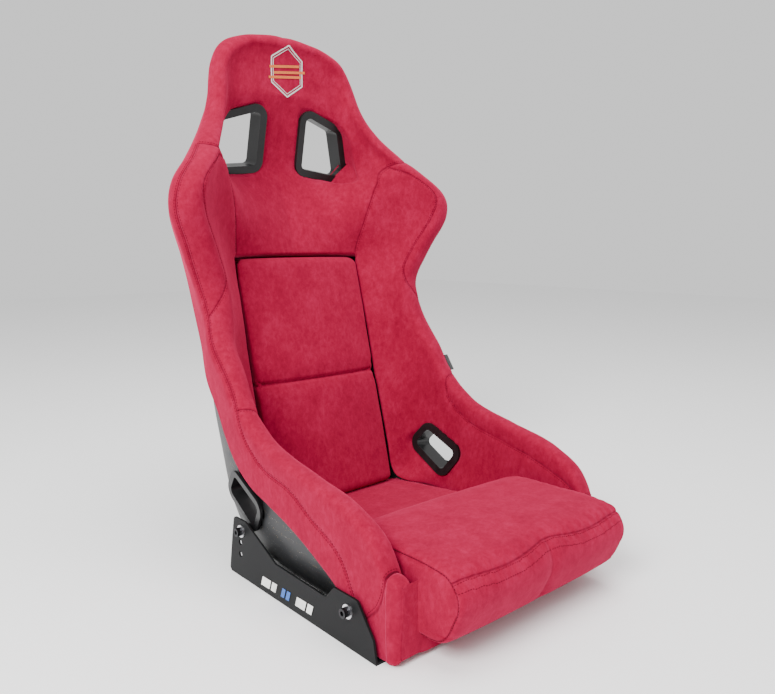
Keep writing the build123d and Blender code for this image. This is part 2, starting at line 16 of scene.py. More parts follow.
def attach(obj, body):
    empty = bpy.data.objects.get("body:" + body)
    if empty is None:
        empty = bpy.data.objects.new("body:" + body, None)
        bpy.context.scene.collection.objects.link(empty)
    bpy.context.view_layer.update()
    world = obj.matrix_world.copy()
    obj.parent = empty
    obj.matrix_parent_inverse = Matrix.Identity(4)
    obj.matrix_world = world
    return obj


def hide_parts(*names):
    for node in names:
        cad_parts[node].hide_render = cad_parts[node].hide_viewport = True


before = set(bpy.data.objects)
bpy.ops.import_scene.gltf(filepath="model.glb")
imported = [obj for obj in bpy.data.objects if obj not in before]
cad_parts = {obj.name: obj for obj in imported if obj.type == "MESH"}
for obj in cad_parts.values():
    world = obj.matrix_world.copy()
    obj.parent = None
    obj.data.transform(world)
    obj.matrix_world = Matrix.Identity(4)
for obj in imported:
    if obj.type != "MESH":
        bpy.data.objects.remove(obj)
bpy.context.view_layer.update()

# ---- sizes shared with the CAD sections ----
DATUM_Y = -8.0         # moves the section planes so that the seat is centred front to back
SHELL = 4.0            # laminate thickness
GAP = 0.5              # air between the laminate and what lies on it
HEM_OUT = 12.0         # laminate's inner face to the outside of the turned-down trim
ROLL_HEIGHT = 11.5     # trim standing above the laminate's edge
ROLL_GAIN = 0.25       # extra height of a roll for each millimetre beyond TRIM_DEPTH
TRIM_DEPTH = 20.0      # thickness of the thinnest roll
WALL_BULGE = 0.45      # third control point of the wall's curve, as a share of its width
WALL_LOW = 0.36        # and as a share of its height
WALL_START = 0.36      # where the bolster starts, along the wall's curve
PANEL_END = 0.33       # where the lining ends, along the same curve
FAR = 30.0             # distance from a seam beyond which it leaves no mark

# Cross-sections from the front lip round to the middle of the head's top edge: distance along
# the rim; foot (y, z); rim (y, z); half-widths of flat, corner and rim; seam (x, height);
# bow of the bolster; thickness of the roll; height turned down; centre height and its bow;
# turn of the section plane about the middle of the head, in degrees.
SECTIONS = np.array([
    (0, -249, 9, -249, 104, 140, 204, 208, 174, 27, 0.40, 20, 98, 20, 0, 0),
    (26, -229, 9, -229, 137, 142, 205, 209, 175, 32, 0.38, 20, 130, 20, 0, 0),
    (74, -183, 9, -183, 165, 144, 206, 211, 176, 36, 0.36, 20, 115, 20, 0, 0),
    (165, -93, 10, -93, 188, 146, 208, 214, 178, 39, 0.35, 20, 84, 20, 0, 0),
    (255, -3, 12, -5, 209, 146, 208, 216, 178, 41, 0.32, 20, 72, 20, 0, 0),
    (313, 77, 16, 31, 226, 142, 204, 218, 176, 44, 0.35, 21, 74, 20, 0, 0),
    (363, 142, 30, 59, 245, 136, 198, 220, 131, 47, 0.80, 24, 70, 20, 0, 0),
    (407, 179, 66, 83, 272, 132, 194, 221, 130, 78, 0.65, 27, 66, 20, 0, 0),
    (455, 199, 120, 105, 304, 130, 192, 222, 130, 83, 0.45, 30, 62, 20, 0, 0),
    (520, 219, 200, 141, 346, 130, 190, 222, 130, 76, 0.25, 33, 61, 20, 0, 0),
    (598, 245, 300, 163, 392, 130, 184, 217, 130, 63, 0.10, 37, 58, 20, 0, 0),
    (673, 270, 400, 177, 438, 130, 183, 222, 129, 51, 0.05, 41, 56, 20, 0, 0),
    (741, 288, 478, 167, 494, 130, 183, 246, 129, 53, 0.10, 42, 56, 43, 0, 0),
    (801, 302, 545, 149, 556, 130, 188, 273, 138, 89, 0.15, 42, 56, 34, 0.2, 0),
    (852, 315, 597, 151, 600, 130, 186, 262, 149, 114, 0.15, 40, 40, 26, 0.45, 0),
    (890, 322, 634, 172, 634, 130, 172, 229, 160, 125, 0.20, 34, 30, 22, 0.75, 0),
    (928, 317, 668, 204, 668, 120, 150, 197, 158, 88, 0.25, 27, 30, 20, 0.7, 0),
    (965, 307, 704, 232, 704, 105, 134, 169, 137, 56, 0.30, 22, 30, 20, 0.6, 0),
    (1024, 291, 762, 260, 762, 80, 113, 144, 107, 28, 0.30, 20, 30, 20, 0.4, 0),
    (1070, 291, 762, 272, 762, 74, 106, 138, 101, 25, 0.30, 20, 30, 20, 0.4, 18.6),
    (1104, 291, 762, 275, 762, 72, 103, 134, 98, 24, 0.30, 20, 30, 20, 0.4, 33),
    (1136, 291, 762, 278, 762, 64, 92, 123, 88, 23, 0.30, 20, 30, 20, 0.4, 47),
    (1179, 291, 762, 280, 762, 50, 72, 99, 70, 22, 0.30, 20, 30, 20, 0.4, 65),
    (1220, 291, 762, 281, 762, 44, 64, 89, 62, 22, 0.30, 20, 30, 20, 0.4, 90),
], float)
PAD_TOP = 741.0        # distance along the rim where the centre panel starts, above the pad

# Belt openings: plane and outline on the right-hand side, from the CAD bezels.
BELT_TILT = 13.0
BELT_CENTRE = (0, 289, 689)
BELT_CORNERS = [(48, 48), (120, 24), (147, -58), (49, -47)]
LAP_FACING = (-1, -0.09, 0.13)
LAP_CENTRE = (189.5, 69, 127)
LAP_CORNERS = [(-24, 31), (-51, 0), (18, -39), (46, -1)]
BEZEL_BORDER = 13.0


def mm(points):
    """Section-table millimetres to metres in the shared frame."""
    return (np.asarray(points, float) + (0, DATUM_Y, 0)) / 1000


# ---- section geometry ----
def interpolate(knots, values, at):
    """Smooth cubic through table rows, for many places at once."""
    span = np.diff(knots)[:, None]
    slopes = np.diff(values, axis=0) / span
    middle = (slopes[:-1] * span[1:] + slopes[1:] * span[:-1]) / (span[:-1] + span[1:])
    tangents = np.vstack([slopes[:1], middle, slopes[-1:]])
    k = np.clip(np.searchsorted(knots, at, side="right") - 1, 0, len(knots) - 2)
    t = ((at - knots[k]) / span[k, 0])[:, None]
    a, b = values[k], values[k + 1]
    ta, tb = tangents[k] * span[k], tangents[k + 1] * span[k]
    return (
        a * (1 + 2 * t) * (1 - t) ** 2 + ta * t * (1 - t) ** 2
        + b * t * t * (3 - 2 * t) + tb * t * t * (t - 1)
    )


def unit(v):
    return v / np.linalg.norm(v, axis=-1, keepdims=True)


def left_of(v):
    """The plane vector turned a quarter turn to the left."""
    return np.stack([-v[..., 1], v[..., 0]], -1)


def cubic(p, t):
    """Points on many cubics: p is (sections, 4, 2), t is (samples,) or (sections, samples)."""
    t = np.broadcast_to(t, (len(p), np.shape(t)[-1]))[..., None]
    return (
        p[:, 0:1] * (1 - t) ** 3 + 3 * p[:, 1:2] * t * (1 - t) ** 2
        + 3 * p[:, 2:3] * t * t * (1 - t) + p[:, 3:4] * t ** 3
    )


def bowed(start, end, bow):
    """Control points of cubics bowed towards their low corner."""
    corner = np.stack([end[:, 0], start[:, 1]], -1)
    a = start + (end - start) / 3
    b = start + (end - start) * 2 / 3
    bow = bow[:, None]
    return np.stack([start, a + (corner - a) * bow, b + (corner - b) * bow, end], 1)


def arc_length(line):
    """Distance of each of a polyline's points from its start, along the line."""
    return np.concatenate([[0], np.cumsum(np.linalg.norm(np.diff(line, axis=0), axis=1))])


def read_off(at, run, line):
    """Points of a polyline at chosen distances, where run is its arc_length."""
    return np.stack([np.interp(at, run, column) for column in line.T], -1)


def resample(lines, count):
    """Each polyline redrawn with evenly spaced points."""
    redrawn = []
    for line in lines:
        run = arc_length(line)
        redrawn.append(read_off(np.linspace(0, run[-1], count), run, line))
    return np.array(redrawn)


class Sections:
    """Cross-sections at chosen distances along the rim."""

    def __init__(self, along_rim):
        self.s = np.asarray(along_rim, float)
        row = interpolate(SECTIONS[:, 0], SECTIONS[:, 1:], self.s)
        names = ("foot_y foot_z rim_y rim_z flat corner rim seam_x seam_h bow roll drop "
                 "centre centre_bow turn")
        for name, column in zip(names.split(), row.T):
            setattr(self, name, column)
        rise = np.stack([self.rim_y - self.foot_y, self.rim_z - self.foot_z], -1)
        self.height = np.linalg.norm(rise, axis=1)
        rise = rise / self.height[:, None]
        zero = np.zeros_like(self.s)
        self.rise = np.stack([zero, rise[:, 0], rise[:, 1]], -1)
        turn = np.radians(self.turn)
        self.side = np.stack([np.cos(turn), zero, np.sin(turn)], -1)
        self.origin = np.stack([zero, self.foot_y, self.foot_z], -1)
        middle_x = self.corner + (self.rim - self.corner) * WALL_BULGE
        self.wall = np.stack([
            np.stack([self.flat, zero], -1),
            np.stack([self.corner, zero], -1),
            np.stack([middle_x, self.height * WALL_LOW], -1),
            np.stack([self.rim, self.height], -1),
        ], 1)
        self.tip = self.wall[:, 3]
        self.along = unit(self.wall[:, 3] - self.wall[:, 2])
        self.inward = left_of(self.along)

    def place(self, local):
        """Section-plane points (sections, points, 2) to space."""
        return (
            self.origin[:, None]
            + local[..., 0:1] * self.side[:, None]
            + local[..., 1:2] * self.rise[:, None]
        )

    def laminate(self, inward, t):
        """Laminate wall moved inward, at curve parameters t."""
        t = np.broadcast_to(t, (len(self.s), np.shape(t)[-1]))
        points = cubic(self.wall, t)
        ahead = cubic(self.wall, np.clip(t + 1e-3, 0, 1.001)) - points
        return points + left_of(unit(ahead)) * inward


# Mesh points across the hem, the roll, the bolster's face, what follows its seam, and the back.
HEM_POINTS, ROLL_POINTS, FACE_POINTS, END_POINTS, BACK_POINTS = 44, 40, 50, 44, 9
CURVE_SAMPLES = 120    # points on a curve before it is redrawn evenly
BLEND_PASSES = 26      # smoothing where roll, face and panel meet
ROW_STEP = 1.9         # between the trim's sections below PAD_TOP
HEAD_ROWS = 252        # sections above it


def trim_front(sec, centre):
    """Trim outline in the section plane, from the hem over the roll to the seam and beyond."""
    outer = sec.tip - sec.inward * HEM_OUT
    falling = np.linspace(1, 0, CURVE_SAMPLES)
    down = np.linspace(1, 0, HEM_POINTS)[None, :, None] * sec.drop[:, None, None]
    hems = outer[:, None] - sec.along[:, None] * down
    half = ((sec.roll + HEM_OUT) / 2)[:, None, None]
    top = (ROLL_HEIGHT + (sec.roll - TRIM_DEPTH) * ROLL_GAIN)[:, None, None]
    middle = sec.tip[:, None] + sec.inward[:, None] * ((sec.roll - HEM_OUT) / 2)[:, None, None]
    angle = np.linspace(math.pi, 0, CURVE_SAMPLES)[None, :, None]
    roll = (middle - sec.inward[:, None] * half * -np.cos(angle)
            + sec.along[:, None] * top * np.sin(angle))
    roll = resample(roll, ROLL_POINTS + 1)[:, 1:]
    edge = sec.tip + sec.inward * sec.roll[:, None]
    seam = np.stack([sec.seam_x, sec.seam_h], -1)
    face = cubic(bowed(seam, edge, sec.bow), falling)
    face = resample(face, FACE_POINTS + 1)[:, 1:]
    if centre:
        middle = np.stack([sec.seam_x * 0, sec.centre], -1)
        end = cubic(bowed(middle, seam, sec.centre_bow), falling)
    else:
        low = sec.laminate(1.5, np.array([0.34]))[:, 0]
        low[:, 0] = np.maximum(low[:, 0], sec.seam_x + 4)
        bends = seam + np.array([1.0, -6.0]), low + np.array([-2.0, 8.0])
        end = cubic(np.stack([seam, *bends, low], 1), np.linspace(0, 1, CURVE_SAMPLES))
    end = resample(end, END_POINTS + 1)[:, 1:]
    return np.concatenate([hems, roll, face, end], 1)


def trim_back(sec, centre):
    """Trim outline along the laminate, from the end of the front outline back to the hem."""
    inner = sec.laminate(GAP, np.linspace(0 if centre else WALL_START, 1, BACK_POINTS))
    side = sec.tip - sec.inward * (SHELL + GAP)
    down = np.linspace(0, 1, BACK_POINTS)[None, :, None] * (sec.drop - 3)[:, None, None]
    outer = side[:, None] - sec.along[:, None] * down
    start = inner[:, :1] * (0 if centre else 1, 1)
    middle = (start + inner[:, :1]) / 2
    return np.concatenate([start, middle, inner, outer], 1)


def smoothed(grid, passes, axis):
    """Repeated small averaging along an axis, with its ends held."""
    grid = np.moveaxis(grid.copy(), axis, 0)
    for _ in range(passes):
        grid[1:-1] = grid[:-2] / 4 + grid[1:-1] / 2 + grid[2:] / 4
    return np.moveaxis(grid, 0, axis)


def rim_distance(points):
    """Path length across each section from the top of its roll: inside negative."""
    steps = np.linalg.norm(np.diff(points, axis=1), axis=2)
    run = np.concatenate([np.zeros((len(points), 1)), np.cumsum(steps, 1)], 1)
    top = HEM_POINTS + ROLL_POINTS // 2
    return run[:, top:top + 1] - run


def trim_grid():
    """Right half of the trim: front, back, distance along the rim, rows below PAD_TOP."""
    low = Sections(np.arange(0, PAD_TOP, ROW_STEP))
    high = Sections(np.linspace(PAD_TOP, SECTIONS[-1, 0], HEAD_ROWS))
    parts = []
    for sec, centre in ((low, False), (high, True)):
        front = smoothed(trim_front(sec, centre), BLEND_PASSES, 1)
        parts.append((sec, sec.place(front), sec.place(trim_back(sec, centre))))
    front = np.concatenate([p[1] for p in parts])
    back = np.concatenate([p[2] for p in parts])
    s = np.concatenate([p[0].s for p in parts])
    return front, back, s, len(low.s)


def front_apron(lip, steps=10, depth=17.0):
    """Rings of the padded front: the lip's outline closed under the cushion, rounded forwards."""
    level = lip[0, 1]
    corner, inner = np.array([184, level, 11]), np.array([160, level, 10])
    step = np.linspace(0, 1, 16)[1:, None]
    turn = lip[-1] * (1 - step) ** 2 + corner * 2 * step * (1 - step) + inner * step ** 2
    across = np.linspace(inner[0], 0, 50)[1:]
    under = np.stack([across, across * 0 + level, across * 0 + inner[2]], -1)
    low = np.linspace(0, lip[0, 0] - 3, 80)[1:]
    foot = np.stack([low, low * 0 + level, low * 0 + 1.5], -1)
    loop = resample(np.concatenate([lip, turn, under])[None], 300)[0]
    loop = np.concatenate([foot, loop])
    whole = np.concatenate([loop, (loop * (-1, 1, 1))[::-1][1:]])
    wide = np.concatenate([whole[-30:], whole, whole[:30]])
    ahead = np.gradient(wide, axis=0)
    flat = unit(np.stack([ahead[:, 0], ahead[:, 2]], -1) + 1e-9)
    inward = smoothed(np.stack([flat[:, 1], flat[:, 0] * 0, -flat[:, 0]], -1), 14, 0)[30:-30]
    if inward[np.argmax(whole[:, 2]), 2] > 0:
        inward = -inward
    inside = np.clip((200 - np.abs(whole[:, 0])) / 14, 0, 1) * (whole[:, 2] > 4)
    thin = smoothed(1 - 0.8 * inside[:, None], 8, 0)
    rings = []
    for k in range(steps + 1):
        angle = k / steps * math.pi / 2
        ring = whole + inward * depth * 0.85 * (1 - math.cos(angle)) * thin
        ring[:, 1] = level - depth * math.sin(angle)
        rings.append(ring)
    return np.array(rings)


# ---- seams of the trim, as (distance along the rim, distance across it; inside is negative) ----
SEAMS = {
    "outer": [(45, 138), (66, 118), (89, 86), (158, 60), (196, 47), (268, 47), (330, 39),
              (359, 29), (385, 20), (486, 20), (595, 22), (674, 24), (747, 20), (808, 19),
              (870, 19), (917, 18)],
    "thigh_rear": [(385, 20), (376, 2), (369, -16), (350, -32)],
    "thigh_inner": [(350, -32), (310, -38), (234, -42), (182, -41), (139, -41), (89, -43),
                    (46, -40), (0, -34)],
    "thigh_front": [(0, -10), (0, 12), (5, 40), (22, 90), (50, 136)],
    "wing_inner": [(905, -50), (884, -24), (865, -20), (848, -20), (825, -25), (800, -34),
                   (776, -38), (740, -38), (706, -36), (663, -20), (625, -4), (598, 12),
                   (588, 22)],
    "wing_top": [(917, 18), (915, 0), (905, -50)],
    "centre": [(743, -150), (766, -158), (801, -162), (830, -151), (852, -134), (871, -109),
               (890, -84), (905, -50)],
}
# Rows of stitches beside each seam, by their distance from it.
TOPSTITCHED = {
    "outer": (-3.2, 3.2), "thigh_rear": (-3.0,), "thigh_front": (-3.0,), "thigh_inner": (3.0,),
    "wing_inner": (3.0,), "wing_top": (3.0,), "centre": (3.0,),
}


def smooth_path(points, step=2.0):
    """Evenly spaced points on a smooth curve through a seam's points."""
    points = np.asarray(points, float)
    knots = arc_length(points)
    return interpolate(knots, points, np.linspace(0, knots[-1], int(knots[-1] / step) + 2))


def distance_to_path(grid, path, reach=FAR):
    """Distance of every grid point to a path, capped at reach."""
    low, high = path.min(0) - reach, path.max(0) + reach
    near = ((grid > low) & (grid < high)).all(-1)
    found = np.full(grid.shape[:-1], reach)
    points = grid[near]
    best = np.full(len(points), reach)
    for start, end in zip(path, path[1:]):
        run = end - start
        t = np.clip(((points - start) @ run) / (run @ run), 0, 1)
        best = np.minimum(best, np.linalg.norm(points - start - t[:, None] * run, axis=1))
    found[near] = best
    return found


def grid_normals(grid):
    across = np.gradient(grid, axis=1)
    along = np.gradient(grid, axis=0)
    return unit(np.cross(along, across) + 1e-12)


# ---- belt openings ----
def opening_frame(facing, centre):
    """Axes of an opening's plane: sideways, up and facing the occupant."""
    facing = unit(np.array(facing, float))
    if abs(facing[0]) < 0.5:
        sideways = np.array([1.0, 0, 0])
    else:
        sideways = unit(np.cross([0, 0, 1.0], facing))
    return np.stack([sideways, np.cross(facing, sideways), facing]), np.array(centre, float)


TILT = math.radians(BELT_TILT)
BELT_FACING = (0, -math.cos(TILT), -math.sin(TILT))
OPENINGS = [
    (opening_frame(BELT_FACING, BELT_CENTRE), np.array(BELT_CORNERS, float)),
    (opening_frame(LAP_FACING, LAP_CENTRE), np.array(LAP_CORNERS, float)),
]


def outline_distance(points, corners, rounding=9.0):
    """Signed distance to a convex outline with rounded corners: inside negative."""
    if np.cross(corners[1] - corners[0], corners[2] - corners[1]) < 0:
        corners = corners[::-1]
    edges = []
    for a, b in zip(corners, np.roll(corners, -1, 0)):
        run = unit(b - a)
        out = np.array([run[1], -run[0]])
        edges.append((points - a) @ out)
    edges = np.stack(edges, -1)
    near = np.sort(edges, -1)[..., -2:] + rounding
    corner = np.linalg.norm(np.maximum(near, 0), axis=-1) - rounding
    return np.where((near > 0).all(-1), corner, edges.max(-1))


def in_opening(points, grow, above=4.5, depth=70.0):
    """Which points lie inside any opening's outline grown by a border."""
    inside = np.zeros(points.shape[:-1], bool)
    for (axes, centre), corners in OPENINGS:
        local = (points - centre) @ axes.T
        near = (local[..., 2] < above) & (local[..., 2] > -depth)
        inside |= near & (outline_distance(local[..., :2], corners) < grow)
    return inside


def press_for_bezels(grid, level=-1.5):
    """Tuck the trim behind each bezel's flange and undercut the padding that leans over it."""
    grid = grid.copy()
    for (axes, centre), corners in OPENINGS:
        local = (grid - centre) @ axes.T
        place, height = local[..., :2], local[..., 2]
        gap = outline_distance(place, corners) - BEZEL_BORDER
        slope = np.stack([
            outline_distance(place + v, corners) - outline_distance(place - v, corners)
            for v in np.eye(2) * 0.5
        ], -1)
        outward = unit(slope + 1e-9)
        lean = -18 * np.clip((height - 30) / 40, 0, 1) ** 1.2
        near = (height > -12) & (height < 130) & (gap < 1)
        wall = np.clip((height - 6) / 5, 0, 1)
        push = np.where(near, np.maximum(lean - 0.6 - gap, 0), 0) * wall
        place = place + outward * push[..., None]
        sunk = level + (30 - level) * np.clip((height - 18) / 12, 0, 1)
        height = np.where(near & (height < 30), np.minimum(height, sunk), height)
        grid = np.concatenate([place, height[..., None]], -1) @ axes + centre
    return grid


# ---- relief of the cloth ----
def dents(distance, depth=1.3, width=1.7, puff=1.2, reach=9.0):
    """Groove with a soft swelling on both sides, by distance from a seam."""
    return -depth * np.exp(-(distance / width) ** 2) - puff * np.exp(-(distance / reach) ** 2)


def waviness(points, scale, seed):
    """Smooth noise between -1 and 1 at many points."""
    flat = points.reshape(-1, 3) * scale + seed
    return np.array([noise.noise(p) for p in flat]).reshape(points.shape[:-1])


def unevenness(points, *layers):
    """Waviness of several sizes together, each as (height, scale, seed)."""
    return sum(height * waviness(points, scale, seed) for height, scale, seed in layers)


def gathers(phase, seam, reach):
    """Puckers beside a seam, dying away with the distance from it."""
    return np.sin(phase) * np.exp(-(seam / reach) ** 2)


# ---- mesh making ----
def grid_faces(rows, columns, start=0, closed=False):
    """Quads of a grid of vertices, row by row."""
    across = columns if closed else columns - 1
    i, j = np.meshgrid(np.arange(rows - 1), np.arange(across), indexing="ij")
    a = start + i * columns + j
    b = start + i * columns + (j + 1) % columns
    c, d = b + columns, a + columns
    return np.stack([a, b, c, d], -1).reshape(-1, 4)


def new_object(name, data):
    """Object of that data, linked to the scene."""
    thing = bpy.data.objects.new(name, data)
    bpy.context.scene.collection.objects.link(thing)
    return thing


def make_mesh(name, points, faces, material, attributes=None):
    """Mesh piece from points in metres, with per-point attributes; large caps stay flat."""
    mesh = bpy.data.meshes.new(name)
    mesh.from_pydata(points.tolist(), [], [list(map(int, f)) for f in faces])
    for key, values in (attributes or {}).items():
        layer = mesh.attributes.new(key, "FLOAT", "POINT")
        layer.data.foreach_set("value", np.asarray(values, np.float32))
    mesh.materials.append(material)
    mesh.polygons.foreach_set("use_smooth", [len(face) < 5 for face in faces])
    return new_object(name, mesh)


def tidy(piece, merge=0.00003):
    """Weld coincident points and turn all faces outwards."""
    work = bmesh.new()
    work.from_mesh(piece.data)
    bmesh.ops.remove_doubles(work, verts=work.verts, dist=merge)
    bmesh.ops.recalc_face_normals(work, faces=work.faces)
    work.to_mesh(piece.data)
    work.free()
    return piece


def mirrored(points, faces, extras):
    """Points and faces with their mirror copy across X = 0 added."""
    count = len(points)
    both = np.concatenate([points, points * (-1, 1, 1)])
    faces = list(faces) + [[v + count for v in reversed(f)] for f in faces]
    return both, faces, {k: np.concatenate([v, v]) for k, v in extras.items()}


def place_piece(piece, body, slot, *nodes):
    """Tie a piece to its body and hide the CAD nodes that it replaces; slot is not used."""
    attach(piece, body)
    if nodes:
        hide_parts(*nodes)
    return piece


# ---- materials ----
class Nodes:
    """Small helper for building a node material."""

    def __init__(self, name):
        self.material = bpy.data.materials.new(name)
        self.material.use_nodes = True
        self.tree = self.material.node_tree
        self.shader = self.tree.nodes["Principled BSDF"]

    def add(self, kind, inputs=None, **settings):
        node = self.tree.nodes.new(kind)
        for key, value in settings.items():
            setattr(node, key, value)
        for key, value in (inputs or {}).items():
            self.feed(node.inputs[key], value)
        return node

    def feed(self, socket, value):
        if isinstance(value, bpy.types.NodeSocket):
            self.tree.links.new(value, socket)
        else:
            socket.default_value = value

    def set(self, **inputs):
        for key, value in inputs.items():
            self.feed(self.shader.inputs[key.replace("_", " ")], value)

    def noise(self, scale, detail, roughness, vector, distortion=0.0):
        inputs = {"Vector": vector, "Scale": scale, "Detail": detail, "Roughness": roughness,
                  "Distortion": distortion}
        return self.add("ShaderNodeTexNoise", inputs).outputs["Fac"]

    def coordinates(self, stretch=(1, 1, 1)):
        place = self.add("ShaderNodeTexCoord").outputs["Object"]
        return self.add("ShaderNodeMapping", {"Vector": place, "Scale": stretch}).outputs["Vector"]

    def ramp(self, value, *stops):
        node = self.add("ShaderNodeValToRGB", {"Fac": value})
        elements = node.color_ramp.elements
        while len(elements) < len(stops):
            elements.new(0.5)
        for element, (at, colour) in zip(elements, stops):
            element.position = at
            element.color = (*colour, 1)
        return node.outputs["Color"]

    def between(self, value, low, high, to_low=0.0, to_high=1.0):
        inputs = {"Value": value, "From Min": low, "From Max": high, "To Min": to_low,
                  "To Max": to_high}
        node = self.add("ShaderNodeMapRange", inputs, interpolation_type="SMOOTHSTEP")
        return node.outputs["Result"]

    def maths(self, operation, a, b):
        node = self.add("ShaderNodeMath", operation=operation)
        self.feed(node.inputs[0], a)
        self.feed(node.inputs[1], b)
        return node.outputs[0]

    def mix(self, factor, a, b):
        node = self.add("ShaderNodeMix", data_type="RGBA")
        self.feed(node.inputs["Factor"], factor)
        for socket, value in zip((node.inputs[6], node.inputs[7]), (a, b)):
            self.feed(socket, (*value, 1) if isinstance(value, tuple) else value)
        return node.outputs[2]

    def bump(self, height, strength, distance, normal=None):
        inputs = {"Height": height, "Strength": strength, "Distance": distance}
        if normal is not None:
            inputs["Normal"] = normal
        return self.add("ShaderNodeBump", inputs).outputs["Normal"]


SUEDE_DARK = (0.17, 0.0020, 0.016)
SUEDE_MID = (0.235, 0.0040, 0.026)
SUEDE_LIGHT = (0.31, 0.009, 0.044)


def suede_material():
    """Brushed suede: mottled nap, fine fibres, soft sheen, sewn grooves and painted shade in those
    grooves.
    """
    n = Nodes("suede")
    place = n.coordinates()
    brushed = n.coordinates((1.0, 1.0, 0.7))
    blotches = n.noise(30, 6, 0.66, brushed, 0.3)
    strokes = n.noise(150, 5, 0.66, brushed, 0.5)
    mottle = n.maths("ADD", n.maths("MULTIPLY", blotches, 0.5), n.maths("MULTIPLY", strokes, 0.5))
    colour = n.ramp(mottle, (0.33, SUEDE_DARK), (0.5, SUEDE_MID), (0.68, SUEDE_LIGHT))
    fibres = n.noise(900, 3, 0.7, place)
    colour = n.mix(n.between(fibres, 0.3, 0.7, 0.0, 0.2), colour, SUEDE_LIGHT)
    seam = n.add("ShaderNodeAttribute", attribute_name="seam").outputs["Fac"]
    # painted shade: within about 2 mm of a seam the colour is mixed towards near-black, standing in
    # for the shade inside the sewn groove
    inside = n.between(seam, 0.0002, 0.0022, 1.0, 0.0)
    colour = n.mix(n.maths("MULTIPLY", inside, 0.55), colour, (0.06, 0.002, 0.006))
    fine = n.bump(fibres, 0.18, 0.0004)
    nap = n.bump(strokes, 0.16, 0.0012, fine)
    groove = n.bump(n.between(seam, 0.0, 0.0016, 0.0, 1.0), 0.7, 0.0010, nap)
    n.set(
        Base_Color=colour, Roughness=n.between(mottle, 0.3, 0.7, 0.95, 0.82), Normal=groove,
        Sheen_Weight=0.4, Sheen_Roughness=0.5, Sheen_Tint=(1.0, 0.08, 0.22, 1),
        Specular_IOR_Level=0.03,
    )
    return n.material


def thread_material():
    """Dark twisted sewing thread."""
    n = Nodes("thread")
    place = n.coordinates()
    twist = n.noise(1600, 2, 0.5, place)
    colour = n.ramp(twist, (0.3, (0.045, 0.001, 0.004)), (0.7, (0.10, 0.003, 0.010)))
    n.set(Base_Color=colour, Roughness=0.8, Normal=n.bump(twist, 0.3, 0.0003),
          Specular_IOR_Level=0.1)
    return n.material


def shell_material():
    """Black gel coat with fine flake under a clear coat."""
    n = Nodes("shell_laminate")
    place = n.coordinates()
    cells = n.add("ShaderNodeTexVoronoi", {"Vector": place, "Scale": 620.0}, feature="F1")
    size = n.between(cells.outputs["Distance"], 0.18, 0.30, 1.0, 0.0)
    pick = n.add("ShaderNodeSeparateColor", {"Color": cells.outputs["Color"]})
    chosen = n.between(pick.outputs["Red"], 0.86, 0.90)
    flake = n.maths("MULTIPLY", size, chosen)
    tint = n.ramp(pick.outputs["Green"], (0.35, (0.62, 0.60, 0.56)), (0.65, (0.62, 0.40, 0.12)))
    haze = n.noise(14, 4, 0.6, place)
    ground = n.ramp(haze, (0.35, (0.016, 0.0165, 0.018)), (0.7, (0.028, 0.029, 0.031)))
    peel = n.noise(160, 3, 0.5, place)
    n.set(
        Base_Color=n.mix(n.maths("MULTIPLY", flake, 0.75), ground, tint),
        Metallic=n.maths("MULTIPLY", flake, 0.8), Roughness=n.between(haze, 0.3, 0.7, 0.42, 0.54),
        Coat_Weight=0.1, Coat_Roughness=0.3, Specular_IOR_Level=0.35,
        Normal=n.bump(peel, 0.08, 0.0006),
    )
    return n.material


def plastic_material(name, colour, roughness, grain):
    """Moulded plastic or print with a fine grain."""
    n = Nodes(name)
    place = n.coordinates()
    dimples = n.noise(grain, 3, 0.6, place)
    wear = n.noise(32, 4, 0.6, place)
    light = tuple(min(1, c * 1.6 + 0.004) for c in colour)
    n.set(
        Base_Color=n.ramp(wear, (0.3, colour), (0.75, light)), Normal=n.bump(dimples, 0.12, 0.0002),
        Roughness=n.between(wear, 0.3, 0.7, roughness - 0.05, roughness + 0.06),
        Specular_IOR_Level=0.3,
    )
    return n.material


def bracket_material():
    """Satin powder coat on steel with faint speckle."""
    n = Nodes("bracket_paint")
    place = n.coordinates()
    orange_peel = n.noise(520, 3, 0.6, place)
    cloud = n.noise(11, 4, 0.6, place)
    colour = n.ramp(cloud, (0.3, (0.0045, 0.0047, 0.0052)), (0.75, (0.009, 0.0093, 0.010)))
    n.set(Base_Color=colour, Roughness=n.between(cloud, 0.3, 0.7, 0.42, 0.5),
          Normal=n.bump(orange_peel, 0.22, 0.0004), Specular_IOR_Level=0.12)
    return n.material


def metal_material(name, colour, roughness):
    """Bare or plated metal with turning marks."""
    n = Nodes(name)
    brushed = n.coordinates((1, 60, 60))
    lines = n.noise(90, 3, 0.6, brushed)
    light = tuple(min(1, c * 1.25) for c in colour)
    n.set(
        Base_Color=n.ramp(lines, (0.3, colour), (0.7, light)), Metallic=1.0,
        Roughness=n.between(lines, 0.3, 0.7, roughness - 0.06, roughness + 0.08),
        Normal=n.bump(lines, 0.1, 0.0002),
    )
    return n.material


def cloth_material(name, colour, scale):
    """Woven tape or loop cloth."""
    n = Nodes(name)
    place = n.coordinates()
    waves = {"Vector": place, "Scale": scale, "Distortion": 0.6}
    warp, weft = (n.add("ShaderNodeTexWave", waves, bands_direction=way).outputs["Fac"]
                  for way in ("X", "Z"))
    weave = n.maths("MULTIPLY", warp, weft)
    light = tuple(c * 1.5 + 0.004 for c in colour)
    n.set(Base_Color=n.ramp(weave, (0.2, colour), (0.8, light)), Roughness=0.85, Sheen_Weight=0.3,
          Normal=n.bump(weave, 0.4, 0.0005))
    return n.material


